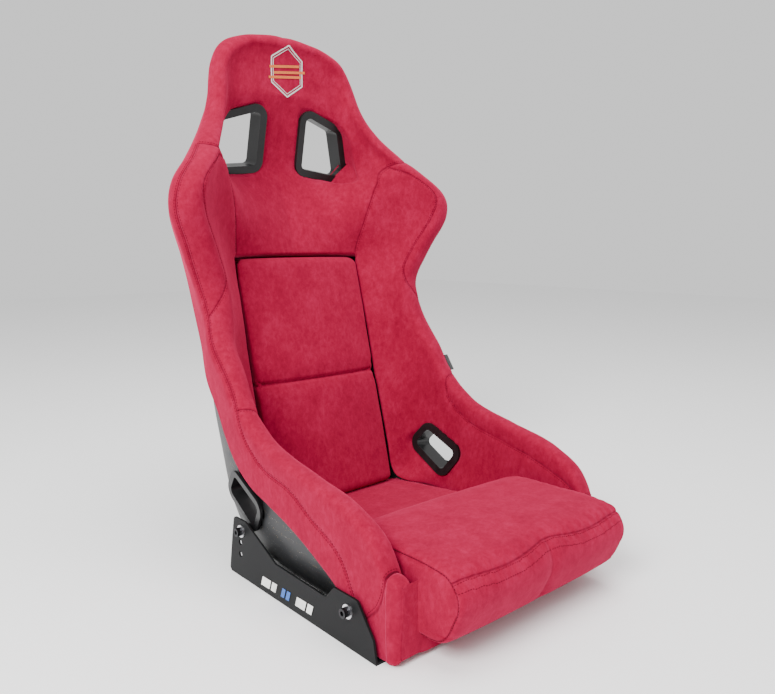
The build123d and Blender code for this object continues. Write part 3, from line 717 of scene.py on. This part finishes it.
SUEDE = suede_material()
THREAD = thread_material()
LAMINATE = shell_material()
BEZEL = plastic_material("bezel_plastic", (0.005, 0.005, 0.0055), 0.34, 420)
SPACER = plastic_material("spacer_plastic", (0.016, 0.016, 0.017), 0.5, 500)
BRACKET = bracket_material()
SCREW = metal_material("black_oxide", (0.035, 0.035, 0.038), 0.38)
ZINC = metal_material("zinc", (0.62, 0.62, 0.64), 0.28)
LOOP_CLOTH = cloth_material("lining_cloth", (0.012, 0.012, 0.013), 380)
TAPE = cloth_material("hook_and_loop", (0.010, 0.010, 0.010), 520)
TAG_CLOTH = cloth_material("tag_cloth", (0.010, 0.010, 0.011), 460)
WHITE_PRINT = plastic_material("white_print", (0.62, 0.62, 0.60), 0.5, 900)
BLUE_PRINT = plastic_material("blue_print", (0.03, 0.10, 0.34), 0.5, 900)
ORANGE_THREAD = cloth_material("orange_thread", (0.50, 0.10, 0.006), 1400)
WHITE_THREAD = cloth_material("white_thread", (0.50, 0.49, 0.48), 1400)


# ---- fixed trim ----
def even_crown(points):
    """Level the top of the head: lower at its corners and a little higher in the middle."""
    x, high = np.abs(points[..., 0]), np.clip((points[..., 2] - 790) / 50, 0, 1)
    rise = 3.0 * np.exp(-(x / 50) ** 2) - 7.0 * np.exp(-((x - 92) / 32) ** 2)
    return points + np.stack([rise * 0, rise * 0, rise * high], -1)


def sewn_trim():
    """The padded trim sewn over both bolsters, the shoulders and the head."""
    front, back, s, low_rows = trim_grid()
    across = rim_distance(front)
    sewn = np.stack([np.repeat(s[:, None], front.shape[1], 1), across], -1)
    front = press_for_bezels(front)
    front = smoothed(front, 2, 0)
    crown = np.clip((s - 960) / 90, 0, 1)[:, None, None]
    front = front * (1 - crown) + smoothed(front, 60, 0) * crown
    front, back = (even_crown(half) for half in (front, back))
    front[low_rows:, -1, 0] = 0
    paths = {name: smooth_path(points) for name, points in SEAMS.items()}
    seam = np.full(across.shape, FAR)
    for path in paths.values():
        seam = np.minimum(seam, distance_to_path(sewn, path))
    normals = grid_normals(front)
    lift = dents(seam)
    lift += unevenness(front, (0.8, 0.012, 3.0), (0.35, 0.045, 11.0))
    lift += 0.25 * gathers(sewn[..., 0] * 0.62 + 2.5 * waviness(front, 0.03, 5.0), seam, 7.0)
    lift[:, :3] *= 0.3
    lift[low_rows:, -1] = lift[low_rows:, -2]
    moved = front + normals * lift[..., None]
    moved[low_rows:, -1, 0] = 0
    loop = np.concatenate([moved, back], 1)
    rows, columns = loop.shape[:2]
    faces = grid_faces(rows, columns, closed=True)
    closing = (np.arange(len(faces)) % columns == front.shape[1] - 1)
    row_of = np.arange(len(faces)) // columns
    faces = faces[~(closing & (row_of >= low_rows))]
    cut = in_opening(loop.reshape(-1, 3), 5.0)
    faces = faces[~cut[faces].any(1)]
    faces = list(faces) + [tuple(range(columns - 1, -1, -1))]
    distances = np.full((rows, columns), FAR / 1000)
    distances[:, :front.shape[1]] = seam / 1000
    extras = {"seam": distances.reshape(-1)}
    points, faces, extras = mirrored(mm(loop.reshape(-1, 3)), faces, extras)
    piece = tidy(make_mesh("sewn_trim", points, faces, SUEDE, extras))
    return piece, moved, s, across, paths


def on_surface(grid, s, across, place):
    """Point and normal of the trim at a distance along and across the rim."""
    i = np.interp(place[0], s, np.arange(len(s)))
    low = int(min(i, len(s) - 2))
    found = []
    for row in (low, low + 1):
        j = np.interp(-place[1], -across[row], np.arange(grid.shape[1]))
        k = int(min(j, grid.shape[1] - 2))
        found.append(grid[row, k] * (1 - j + k) + grid[row, k + 1] * (j - k))
        side = grid[row, k + 1] - grid[row, k]
    point = found[0] * (1 - i + low) + found[1] * (i - low)
    normal = unit(np.cross(found[1] - found[0] + 1e-9, side))
    return point, normal


STITCH_LENGTH, STITCH_GAP, THREAD_RADIUS = 3.0, 1.3, 0.38


def stitch_shape(start, end, normal, points, faces):
    """One stitch, added to points and faces: a thread that dips into the cloth at both ends."""
    run = end - start
    side = unit(np.cross(run, normal))
    base = sum(len(p) for p in points)
    rings = []
    for t, lift, size in ((0, -0.5, 0.5), (0.2, 0.25, 1.0), (0.8, 0.25, 1.0), (1, -0.5, 0.5)):
        centre = start + run * t + normal * THREAD_RADIUS * lift
        for k in range(6):
            angle = k * math.pi / 3
            outward = side * math.cos(angle) + normal * math.sin(angle)
            rings.append(centre + outward * THREAD_RADIUS * size)
    points.append(np.array(rings))
    faces += list(grid_faces(4, 6, base, closed=True))


def stitched(name, lines):
    """Rows of stitches along lines of (points, normals), as one piece."""
    points, faces = [], []
    for places, directions in lines:
        run = arc_length(places)
        starts = np.arange(STITCH_GAP, run[-1] - STITCH_LENGTH, STITCH_LENGTH + STITCH_GAP)
        for at in starts:
            ends = [read_off(v, run, places) for v in (at, at + STITCH_LENGTH)]
            normal = unit(read_off(at, run, directions))
            stitch_shape(*ends, normal, points, faces)
    return make_mesh(name, mm(np.concatenate(points)), faces, THREAD)


def trim_stitching(surface, s, across, paths):
    """Topstitching beside the trim's seams, on both sides of the seat."""
    lines = []
    for name, offsets in TOPSTITCHED.items():
        path = paths[name]
        sideways = left_of(unit(np.gradient(path, axis=0)))
        for offset in offsets:
            found = [on_surface(surface, s, across, p) for p in path + sideways * offset]
            places, normals = map(np.array, zip(*found))
            lines.append((places, normals))
            lines.append((places * (-1, 1, 1), normals * (-1, 1, 1)))
    return stitched("trim_stitching", lines)


def padded_front(lip):
    """The trim's front, wrapped round the lip of the shell from side to side."""
    rings = front_apron(lip)
    rings[..., 1] -= 1.2 * waviness(rings, 0.02, 31.0)
    rows, columns = rings.shape[:2]
    faces = list(grid_faces(rows, columns, closed=True))
    faces += [tuple(range(columns)), tuple(range((rows - 1) * columns, rows * columns))[::-1]]
    points = mm(rings.reshape(-1, 3))
    extras = {"seam": np.full(len(points), FAR / 1000)}
    return tidy(make_mesh("padded_front", points, faces, SUEDE, extras))


TRIM, TRIM_SURFACE, RIM_S, RIM_W, TRIM_PATHS = sewn_trim()
place_piece(padded_front(TRIM_SURFACE[0]), "root", "suede")
place_piece(TRIM, "root", "suede", "side_cover_left", "side_cover_right", "side_foam_left",
            "side_foam_right", "head_cover", "head_foam", "shoulder_cover", "shoulder_foam")
place_piece(trim_stitching(TRIM_SURFACE, RIM_S, RIM_W, TRIM_PATHS), "root", "suede")


# ---- moulded shell and lining ----
def band(name, low, high, along_rim, t_end, material, holes):
    """Half channel between two inward distances and its mirror copy, as one closed piece."""
    sec = Sections(along_rim)
    centre = np.linspace(0, 1, 14)[None, :-1, None]
    sides = []
    for inward in (high, low):
        wall = sec.laminate(inward, np.linspace(0, t_end, 30))
        sides.append(np.concatenate([wall[:, :1] * (centre * (1, 0) + (0, 1)), wall], 1))
    loop = sec.place(np.concatenate([sides[0], sides[1][:, ::-1]], 1))
    rows, columns = loop.shape[:2]
    faces = grid_faces(rows, columns)
    if holes:
        faces = faces[~in_opening(loop.reshape(-1, 3), holes)[faces].any(1)]
    half = columns // 2
    ends = []
    for row in (0, rows - 1):
        for j in range(half - 1):
            a, b = row * columns + j, (row + 1) * columns - 1 - j
            ends.append((a, a + 1, b - 1, b))
    points, faces, _ = mirrored(mm(loop.reshape(-1, 3)), list(faces) + ends, {})
    return tidy(make_mesh(name, points, faces, material))


rows = np.arange(0, SECTIONS[-1, 0] + 1, 3.0)
shell = band("moulded_shell", -SHELL, 0.0, rows, 1.0, LAMINATE, holes=3.0)
place_piece(shell, "root", "shell_laminate", "bucket_shell")
rows = np.arange(0, PAD_TOP, 6.0)
lining = band("loop_lining", GAP, GAP + 2.0, rows, PANEL_END, LOOP_CLOTH, holes=0)
place_piece(lining, "root", "lining_cloth", "shell_lining")


# ---- loose cushions ----
CAP_RINGS = 16         # mesh rings of a cushion's end panel
CAP_WELD = 0.0002      # metres: closes the middle of an end panel
EDGE_DIP = 0.55        # how far a cushion's edge is drawn in, as a share of its roundness


def rounded_profile(corners, count):
    """Evenly spaced closed polyline through (y, z, radius) corners, and its distances."""
    points = []
    for i, (y, z, radius) in enumerate(corners):
        here = np.array([y, z], float)
        before = np.array(corners[i - 1][:2], float)
        after = np.array(corners[(i + 1) % len(corners)][:2], float)
        a, b = unit(before - here), unit(after - here)
        reach = min(radius, *(np.linalg.norm(v - here) * 0.48 for v in (before, after)))
        start, end = here + a * reach, here + b * reach
        t = np.linspace(0, 1, 14)[:, None]
        points.append(start * (1 - t) ** 2 + 2 * here * t * (1 - t) + end * t * t)
    line = np.concatenate(points + [points[0][:1]])
    run = arc_length(line)
    at = np.linspace(0, run[-1], count, endpoint=False)
    return read_off(at, run, line), at


class Cushion:
    """Closed cushion swept across the seat: a side profile with crowned faces and end panels."""

    def __init__(self, corners, hub, count, stations, edge, bulge):
        self.profile, self.run = rounded_profile(corners, count)
        ahead = np.roll(self.profile, -1, 0) - np.roll(self.profile, 1, 0)
        outward = -left_of(unit(ahead))
        if ((self.profile - self.profile.mean(0)) * outward).sum() < 0:
            outward = -outward
        self.outward = smoothed(np.concatenate([outward[-8:], outward, outward[:8]]), 10, 0)[8:-8]
        self.hub, self.edge, self.bulge = np.array(hub, float), edge, bulge
        self.stations = stations

    def build(self, half_width, crown):
        """Grid of points: half_width and crown are functions of the profile's points."""
        half = half_width(self.profile)
        rise = crown(self.profile, self.outward)
        inner = np.linspace(-1, 1, self.stations)
        inner = np.sign(inner) * (1 - (1 - np.abs(inner)) ** 1.6)
        caps = [k / CAP_RINGS for k in range(1, CAP_RINGS + 1)]
        rows = [("cap", -1, k) for k in reversed(caps)]
        rows += [("face", u, 0) for u in inner]
        rows += [("cap", 1, k) for k in caps]
        grid = np.empty((len(rows), len(self.profile), 3))
        for i, (kind, u, k) in enumerate(rows):
            if kind == "face":
                swell = (1 - abs(u) ** 3.2) * rise
                corner = np.clip((abs(u) * half - (half - self.edge)) / self.edge, 0, 1)
                dip = self.edge * EDGE_DIP * (1 - np.sqrt(np.maximum(1 - corner ** 2, 0)))
                swell = swell - dip
                line = self.profile + self.outward * swell[:, None]
                grid[i] = np.stack([u * half, line[:, 0], line[:, 1]], -1)
            else:
                edge_line = self.profile - self.outward * self.edge * EDGE_DIP
                line = edge_line + (self.hub - edge_line) * k
                out = half * (1 - k) + half.mean() * k + self.bulge * (1 - (1 - k) ** 2)
                grid[i] = np.stack([u * out, line[:, 0], line[:, 1]], -1)
        return grid


def face_rows(grid):
    """First and last rows of a cushion's face, and a column that is true between them."""
    first, last = CAP_RINGS, len(grid) - CAP_RINGS - 1
    on_face = np.zeros((len(grid), 1), bool)
    on_face[first:last + 1] = True
    return first, last, on_face


def cushion_piece(name, grid, seam):
    """Closed mesh from a cushion's grid, whose rows run round the profile."""
    faces = grid_faces(*grid.shape[:2], closed=True)
    extras = {"seam": seam.reshape(-1) / 1000}
    return tidy(make_mesh(name, mm(grid.reshape(-1, 3)), faces, SUEDE, extras), CAP_WELD)


def closed_normals(grid):
    """Outward normals of a cushion's grid."""
    wide = np.concatenate([grid[:, -2:], grid, grid[:, :2]], 1)
    normals = np.cross(np.gradient(wide, axis=0), np.gradient(wide, axis=1))
    normals = unit(normals + 1e-12)[:, 2:-2]
    middle = grid.reshape(-1, 3).mean(0)
    if ((grid - middle) * normals).sum() < 0:
        normals = -normals
    return normals


# Side profiles as (y, z, radius) of their corners, and the seat cushion's half-width.
SEAT_HALF = 177.0
SEAT_CORNERS = [
    (-309, 31, 26), (-337, 92, 56), (-318, 126, 26), (-270, 131, 40), (-128, 128, 26),
    (-22, 66, 34), (60, 62, 20), (146, 60, 8), (146, 48, 6), (130, 38, 8), (77, 24, 20),
    (-3, 18, 20), (-243, 16, 6), (-252, 30, 14),
]
WELT = (-321, 121)     # the sewn seam along the seat cushion's front edge
WELT_STITCHES = (1.9, 13.5)    # distances of its rows of stitches
UNDERSIDE = 45.0       # below this height the seat cushion is nearly flat
PAD_GROOVE = 268.0     # height of the groove between the back cushion's two fields
BACK_CORNERS = [
    (123, 64, 16), (178, 270, 40), (233, 478, 12), (282, 478, 5), (264, 400, 20), (239, 300, 20),
    (213, 200, 20), (192, 120, 20), (175, 72, 10), (168, 64, 5),
]


def seat_width(profile):
    """Half-width of the seat cushion, narrower towards the back."""
    return SEAT_HALF - 30 * np.clip(profile[:, 0] / 150, 0, 1) ** 1.3


def seat_crown(profile, outward):
    """How far the seat cushion swells in the middle of its top and of its front."""
    top = np.clip(outward[:, 1], 0, 1) * np.clip((-profile[:, 0] - 20) / 160, 0.25, 1)
    face = np.clip(-outward[:, 0], 0, 1)
    return 5.0 * top + 4.0 * face


def seat_cushion():
    """The seat cushion, with its welt, side seams and centre seam, and its lines of stitches."""
    cushion = Cushion(SEAT_CORNERS, hub=(-150, 60), count=640, stations=190, edge=9.0, bulge=7.0)
    grid = cushion.build(seat_width, seat_crown)
    first, last, on_face = face_rows(grid)
    profile, run = cushion.profile, cushion.run
    front_top = run[np.argmin(np.linalg.norm(profile - WELT, axis=1))]
    x = grid[..., 0]
    share = np.clip(np.abs(x[:, :1]) / SEAT_HALF, 0, 1)
    welt_at = front_top + 3.5 * np.exp(-(share / 0.16) ** 2) - 6.0 * np.sin(share * math.pi) ** 2
    edge = np.minimum(*(np.abs(x - grid[row, :, 0]) for row in (first, last)))
    radial = np.linalg.norm(grid[..., 1:] - grid[first, :, 1:], axis=-1)
    edge = np.where(on_face, edge, radial)
    welt = np.where(on_face, np.abs(run - welt_at), FAR)
    centre = np.where(on_face & (run < welt_at), np.abs(x + 3), FAR)
    seam = np.minimum(np.minimum.reduce([edge, welt, centre]), FAR)
    normals = closed_normals(grid)
    lift = dents(seam, 1.4, 1.8, 2.2, 10.0)
    across = gathers(x * 0.42 + 3.0 * waviness(grid, 0.02, 7.0), welt, 14.0)
    beside = gathers(grid[..., 1] * 0.35 + 3.0 * waviness(grid, 0.02, 9.0), edge, 12.0)
    lift += 0.5 * across + 0.4 * beside * on_face
    lift += unevenness(grid, (1.3, 0.011, 2.0), (0.5, 0.04, 4.0))
    lift *= np.where(grid[..., 2] < UNDERSIDE, 0.3, 1.0)
    grid = grid + normals * lift[..., None]
    stitches = []
    rows = np.arange(first + 3, last - 2)
    for below in WELT_STITCHES:
        at = ((welt_at[rows, 0] - below) / (run[1] - run[0])).astype(int)
        stitches.append((grid[rows, at], normals[rows, at]))
    top = np.where((profile[:, 0] < -20) & (profile[:, 1] > 20))[0]
    for row in (first + 2, last - 2):
        stitches.append((grid[row, top], normals[row, top]))
    return cushion_piece("seat_cushion", grid, seam), stitches


def back_width(profile):
    """Half-width of the back cushion, with round corners and drawn in at its groove."""
    z = profile[:, 1]
    half = 126.0 + 2.0 * np.clip((z - 64) / 412, 0, 1)
    for limit, radius, sign in ((478.0, 13.0, 1), (64.0, 10.0, -1)):
        into = np.clip((z - limit) * sign / radius + 1, 0, 1)
        half = half - radius * (1 - np.sqrt(np.maximum(1 - into ** 2, 0))) * 0.9
    middle = np.clip(1 - np.abs(z - PAD_GROOVE) / 9, 0, 1)
    return half - 5.0 * middle ** 2


def back_crown(profile, outward):
    """How far the back cushion swells in the middle of its front."""
    return 7.0 * np.clip(-outward[:, 0], 0, 1)


def back_cushion():
    """The back cushion: two fields with a deep groove between them."""
    cushion = Cushion(BACK_CORNERS, hub=(212, PAD_GROOVE), count=420, stations=110, edge=8.0,
                      bulge=0.5)
    grid = cushion.build(back_width, back_crown)
    first, _, on_face = face_rows(grid)
    facing = cushion.outward[:, 0] < -0.5
    groove = np.where(on_face & facing, np.abs(grid[..., 2] - PAD_GROOVE - 2.0), FAR)
    edge = np.abs(np.abs(grid[..., 0]) - np.abs(grid[first, :, 0]))
    seam = np.minimum(groove, np.where(on_face, np.maximum(edge, 3.0), FAR))
    normals = closed_normals(grid)
    lift = dents(groove, 5.0, 3.0, 3.5, 15.0)
    lift += unevenness(grid, (1.0, 0.012, 21.0), (0.4, 0.045, 23.0))
    lift += 0.35 * gathers(grid[..., 0] * 0.4 + 3 * waviness(grid, 0.02, 25.0), groove, 14.0)
    lift *= np.where(facing, 1.0, 0.15)
    grid = grid + normals * lift[..., None]
    return cushion_piece("back_cushion", grid, seam)


seat, seat_lines = seat_cushion()
place_piece(seat, "seat_cushion", "suede", "seat_cushion_cover", "thigh_foam", "seat_base_foam")
place_piece(stitched("seat_stitching", seat_lines), "seat_cushion", "suede")
pad = back_cushion()
place_piece(pad, "back_cushion", "suede", "back_cushion_cover", "upper_back_foam", "lumbar_foam")


# ---- embroidered mark and printed bars ----
EMBLEM_CENTRE = (4.0, 806.0)     # x, z
PRINT_FACE = 226.3               # x of a bracket's outer face
PRINT_START = (18.2, 16.5)       # y, z of the rear end of the print
PRINT_TILT = math.radians(-1.0)
PRINT_SPANS = (                  # start and end of each bar, along the bracket
    ("white", WHITE_PRINT, ((0, 22), (26, 38), (88, 110), (114, 126))),
    ("blue", BLUE_PRINT, ((52, 60), (64, 72))),
)


def ribbon(points, width):
    """Flat band of quads along a line of (x, z) points."""
    sideways = left_of(unit(np.gradient(points, axis=0))) * width / 2
    return np.stack([points - sideways, points + sideways], 1)


def straight(start, end, count=24):
    """Evenly spaced points from start to end."""
    t = np.linspace(0, 1, count)[:, None]
    return np.array(start, float) * (1 - t) + np.array(end, float) * t


def sewn_mark(name, bands, material, height=0.0007):
    """Bands laid on the trim by dropping their points onto it from the front."""
    ground = bmesh.new()
    ground.from_mesh(TRIM.data)
    tree = BVHTree.FromBMesh(ground)
    ground.free()
    points, faces = [], []
    for line in bands:
        start = len(points)
        for pair in line:
            for x, z in pair:
                start_point = Vector((x / 1000, -1.0, z / 1000))
                place, normal = tree.ray_cast(start_point, Vector((0, 1, 0)))[:2]
                away = -1 if normal.y > 0 else 1
                points.append(np.array(place + normal.normalized() * height * away))
        faces += list(grid_faces(len(line), 2, start))
    piece = make_mesh(name, np.array(points), faces, material)
    return place_piece(piece, "root", "suede")


def emblem():
    """A plain hexagon outline with three slanting bars, as head embroidery."""
    middle = np.array(EMBLEM_CENTRE)
    for radius, width, name in ((43, 2.4, "outer"), (38, 1.2, "inner")):
        corners = [middle + radius * np.array([0.86 * math.sin(turn), math.cos(turn)])
                   for turn in (k * math.pi / 3 for k in range(7))]
        bands = [ribbon(straight(a, b), width) for a, b in zip(corners, corners[1:])]
        sewn_mark("emblem_" + name, bands, WHITE_THREAD)
    bars = []
    for k, (left, right) in enumerate(((-36, 26), (-28, 38), (-38, 30))):
        start = middle + (left, 4 - k * 9)
        bars.append(ribbon(straight(start, middle + (right, 12 - k * 9)), 4.5))
    sewn_mark("emblem_bars", bars, ORANGE_THREAD, 0.0010)


def printed_bars(side):
    """Plain slanted bars printed along the outside of a bracket."""
    along = unit(np.array([-math.cos(PRINT_TILT), -math.sin(PRINT_TILT)]))
    up = np.array([0.0, 1.0])
    for name, material, spans in PRINT_SPANS:
        points, faces = [], []
        for start, end in spans:
            base = len(points)
            for depth in (0.0, 0.35):
                for at, lift in ((start, -7), (end, -7), (end + 5, 7), (start + 5, 7)):
                    y, z = np.array(PRINT_START) + along * at + up * lift
                    points.append((side * (PRINT_FACE + depth), y, z))
            faces += [(base + 4, base + 5, base + 6, base + 7)]
            faces += list(grid_faces(2, 4, base, closed=True))
        label = "left" if side < 0 else "right"
        piece = make_mesh(f"bars_{name}_{label}", mm(np.array(points)), faces, material)
        piece.data.polygons.foreach_set("use_smooth", [False] * len(faces))
        place_piece(tidy(piece), "root", "bracket_paint")


emblem()
printed_bars(-1)
printed_bars(1)


# ---- materials of the carried-over CAD nodes ----
FINISHES = {
    "belt_bezel": BEZEL, "lap_bezel": BEZEL, "side_bracket": BRACKET, "rear_bolts": SCREW,
    "front_bolts": SCREW, "plate_washers": ZINC, "bracket_spacers": SPACER,
    "threaded_inserts": ZINC, "seat_loop": TAPE, "seat_hook": TAPE, "back_loop": TAPE,
    "back_hook": TAPE, "side_tag": TAG_CLOTH,
}
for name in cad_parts:
    for start, material in FINISHES.items():
        if name.startswith(start):
            node = bpy.data.objects[name]
            node.data.materials.clear()
            node.data.materials.append(material)


# ---- room ----
FLOOR_HALF = 6.0
LIGHT_AIM = (0, 0, 0.4)
LIGHTS = (                       # name, place, side in metres, power in watts
    ("key", (-2.0, -0.9, 1.9), 1.2, 120),
    ("fill", (1.6, -2.4, 1.3), 2.2, 8),
    ("top", (0.1, -0.4, 2.8), 1.6, 48),
)
CAMERA_PLACE = (-0.757, -0.875, 0.510)
CAMERA_TURN, CAMERA_PITCH = math.radians(-41.3), math.radians(-8.3)


def studio():
    """Pale floor and soft lights."""
    world = bpy.data.worlds.new("studio")
    bpy.context.scene.world = world
    world.use_nodes = True
    sky = world.node_tree.nodes["Background"]
    sky.inputs["Color"].default_value = (1, 1, 1, 1)
    sky.inputs["Strength"].default_value = 0.95
    mesh = bpy.data.meshes.new("floor")
    corners = [(FLOOR_HALF * x, FLOOR_HALF * y, 0) for x, y in ((-1, -1), (1, -1), (1, 1), (-1, 1))]
    mesh.from_pydata(corners, [], [(0, 1, 2, 3)])
    paper = Nodes("paper")
    paper.set(Base_Color=(0.92, 0.92, 0.92, 1), Roughness=0.9)
    mesh.materials.append(paper.material)
    floor = new_object("floor", mesh)
    for name, place, size, power in LIGHTS:
        light = bpy.data.lights.new(name, "AREA")
        light.size = size
        light.energy = power
        lamp = new_object(name, light)
        lamp.location = place
        towards = Vector(LIGHT_AIM) - Vector(place)
        lamp.rotation_euler = towards.to_track_quat("-Z", "Y").to_euler()


def photograph():
    """Camera at the photograph's viewing angle."""
    data = bpy.data.cameras.new("camera")
    data.lens = 34.0
    data.sensor_width = 36.0
    camera = new_object("camera", data)
    camera.location = CAMERA_PLACE
    camera.rotation_euler = (math.pi / 2 + CAMERA_PITCH, 0, CAMERA_TURN)
    bpy.context.scene.camera = camera


studio()
photograph()

bpy.context.view_layer.update()
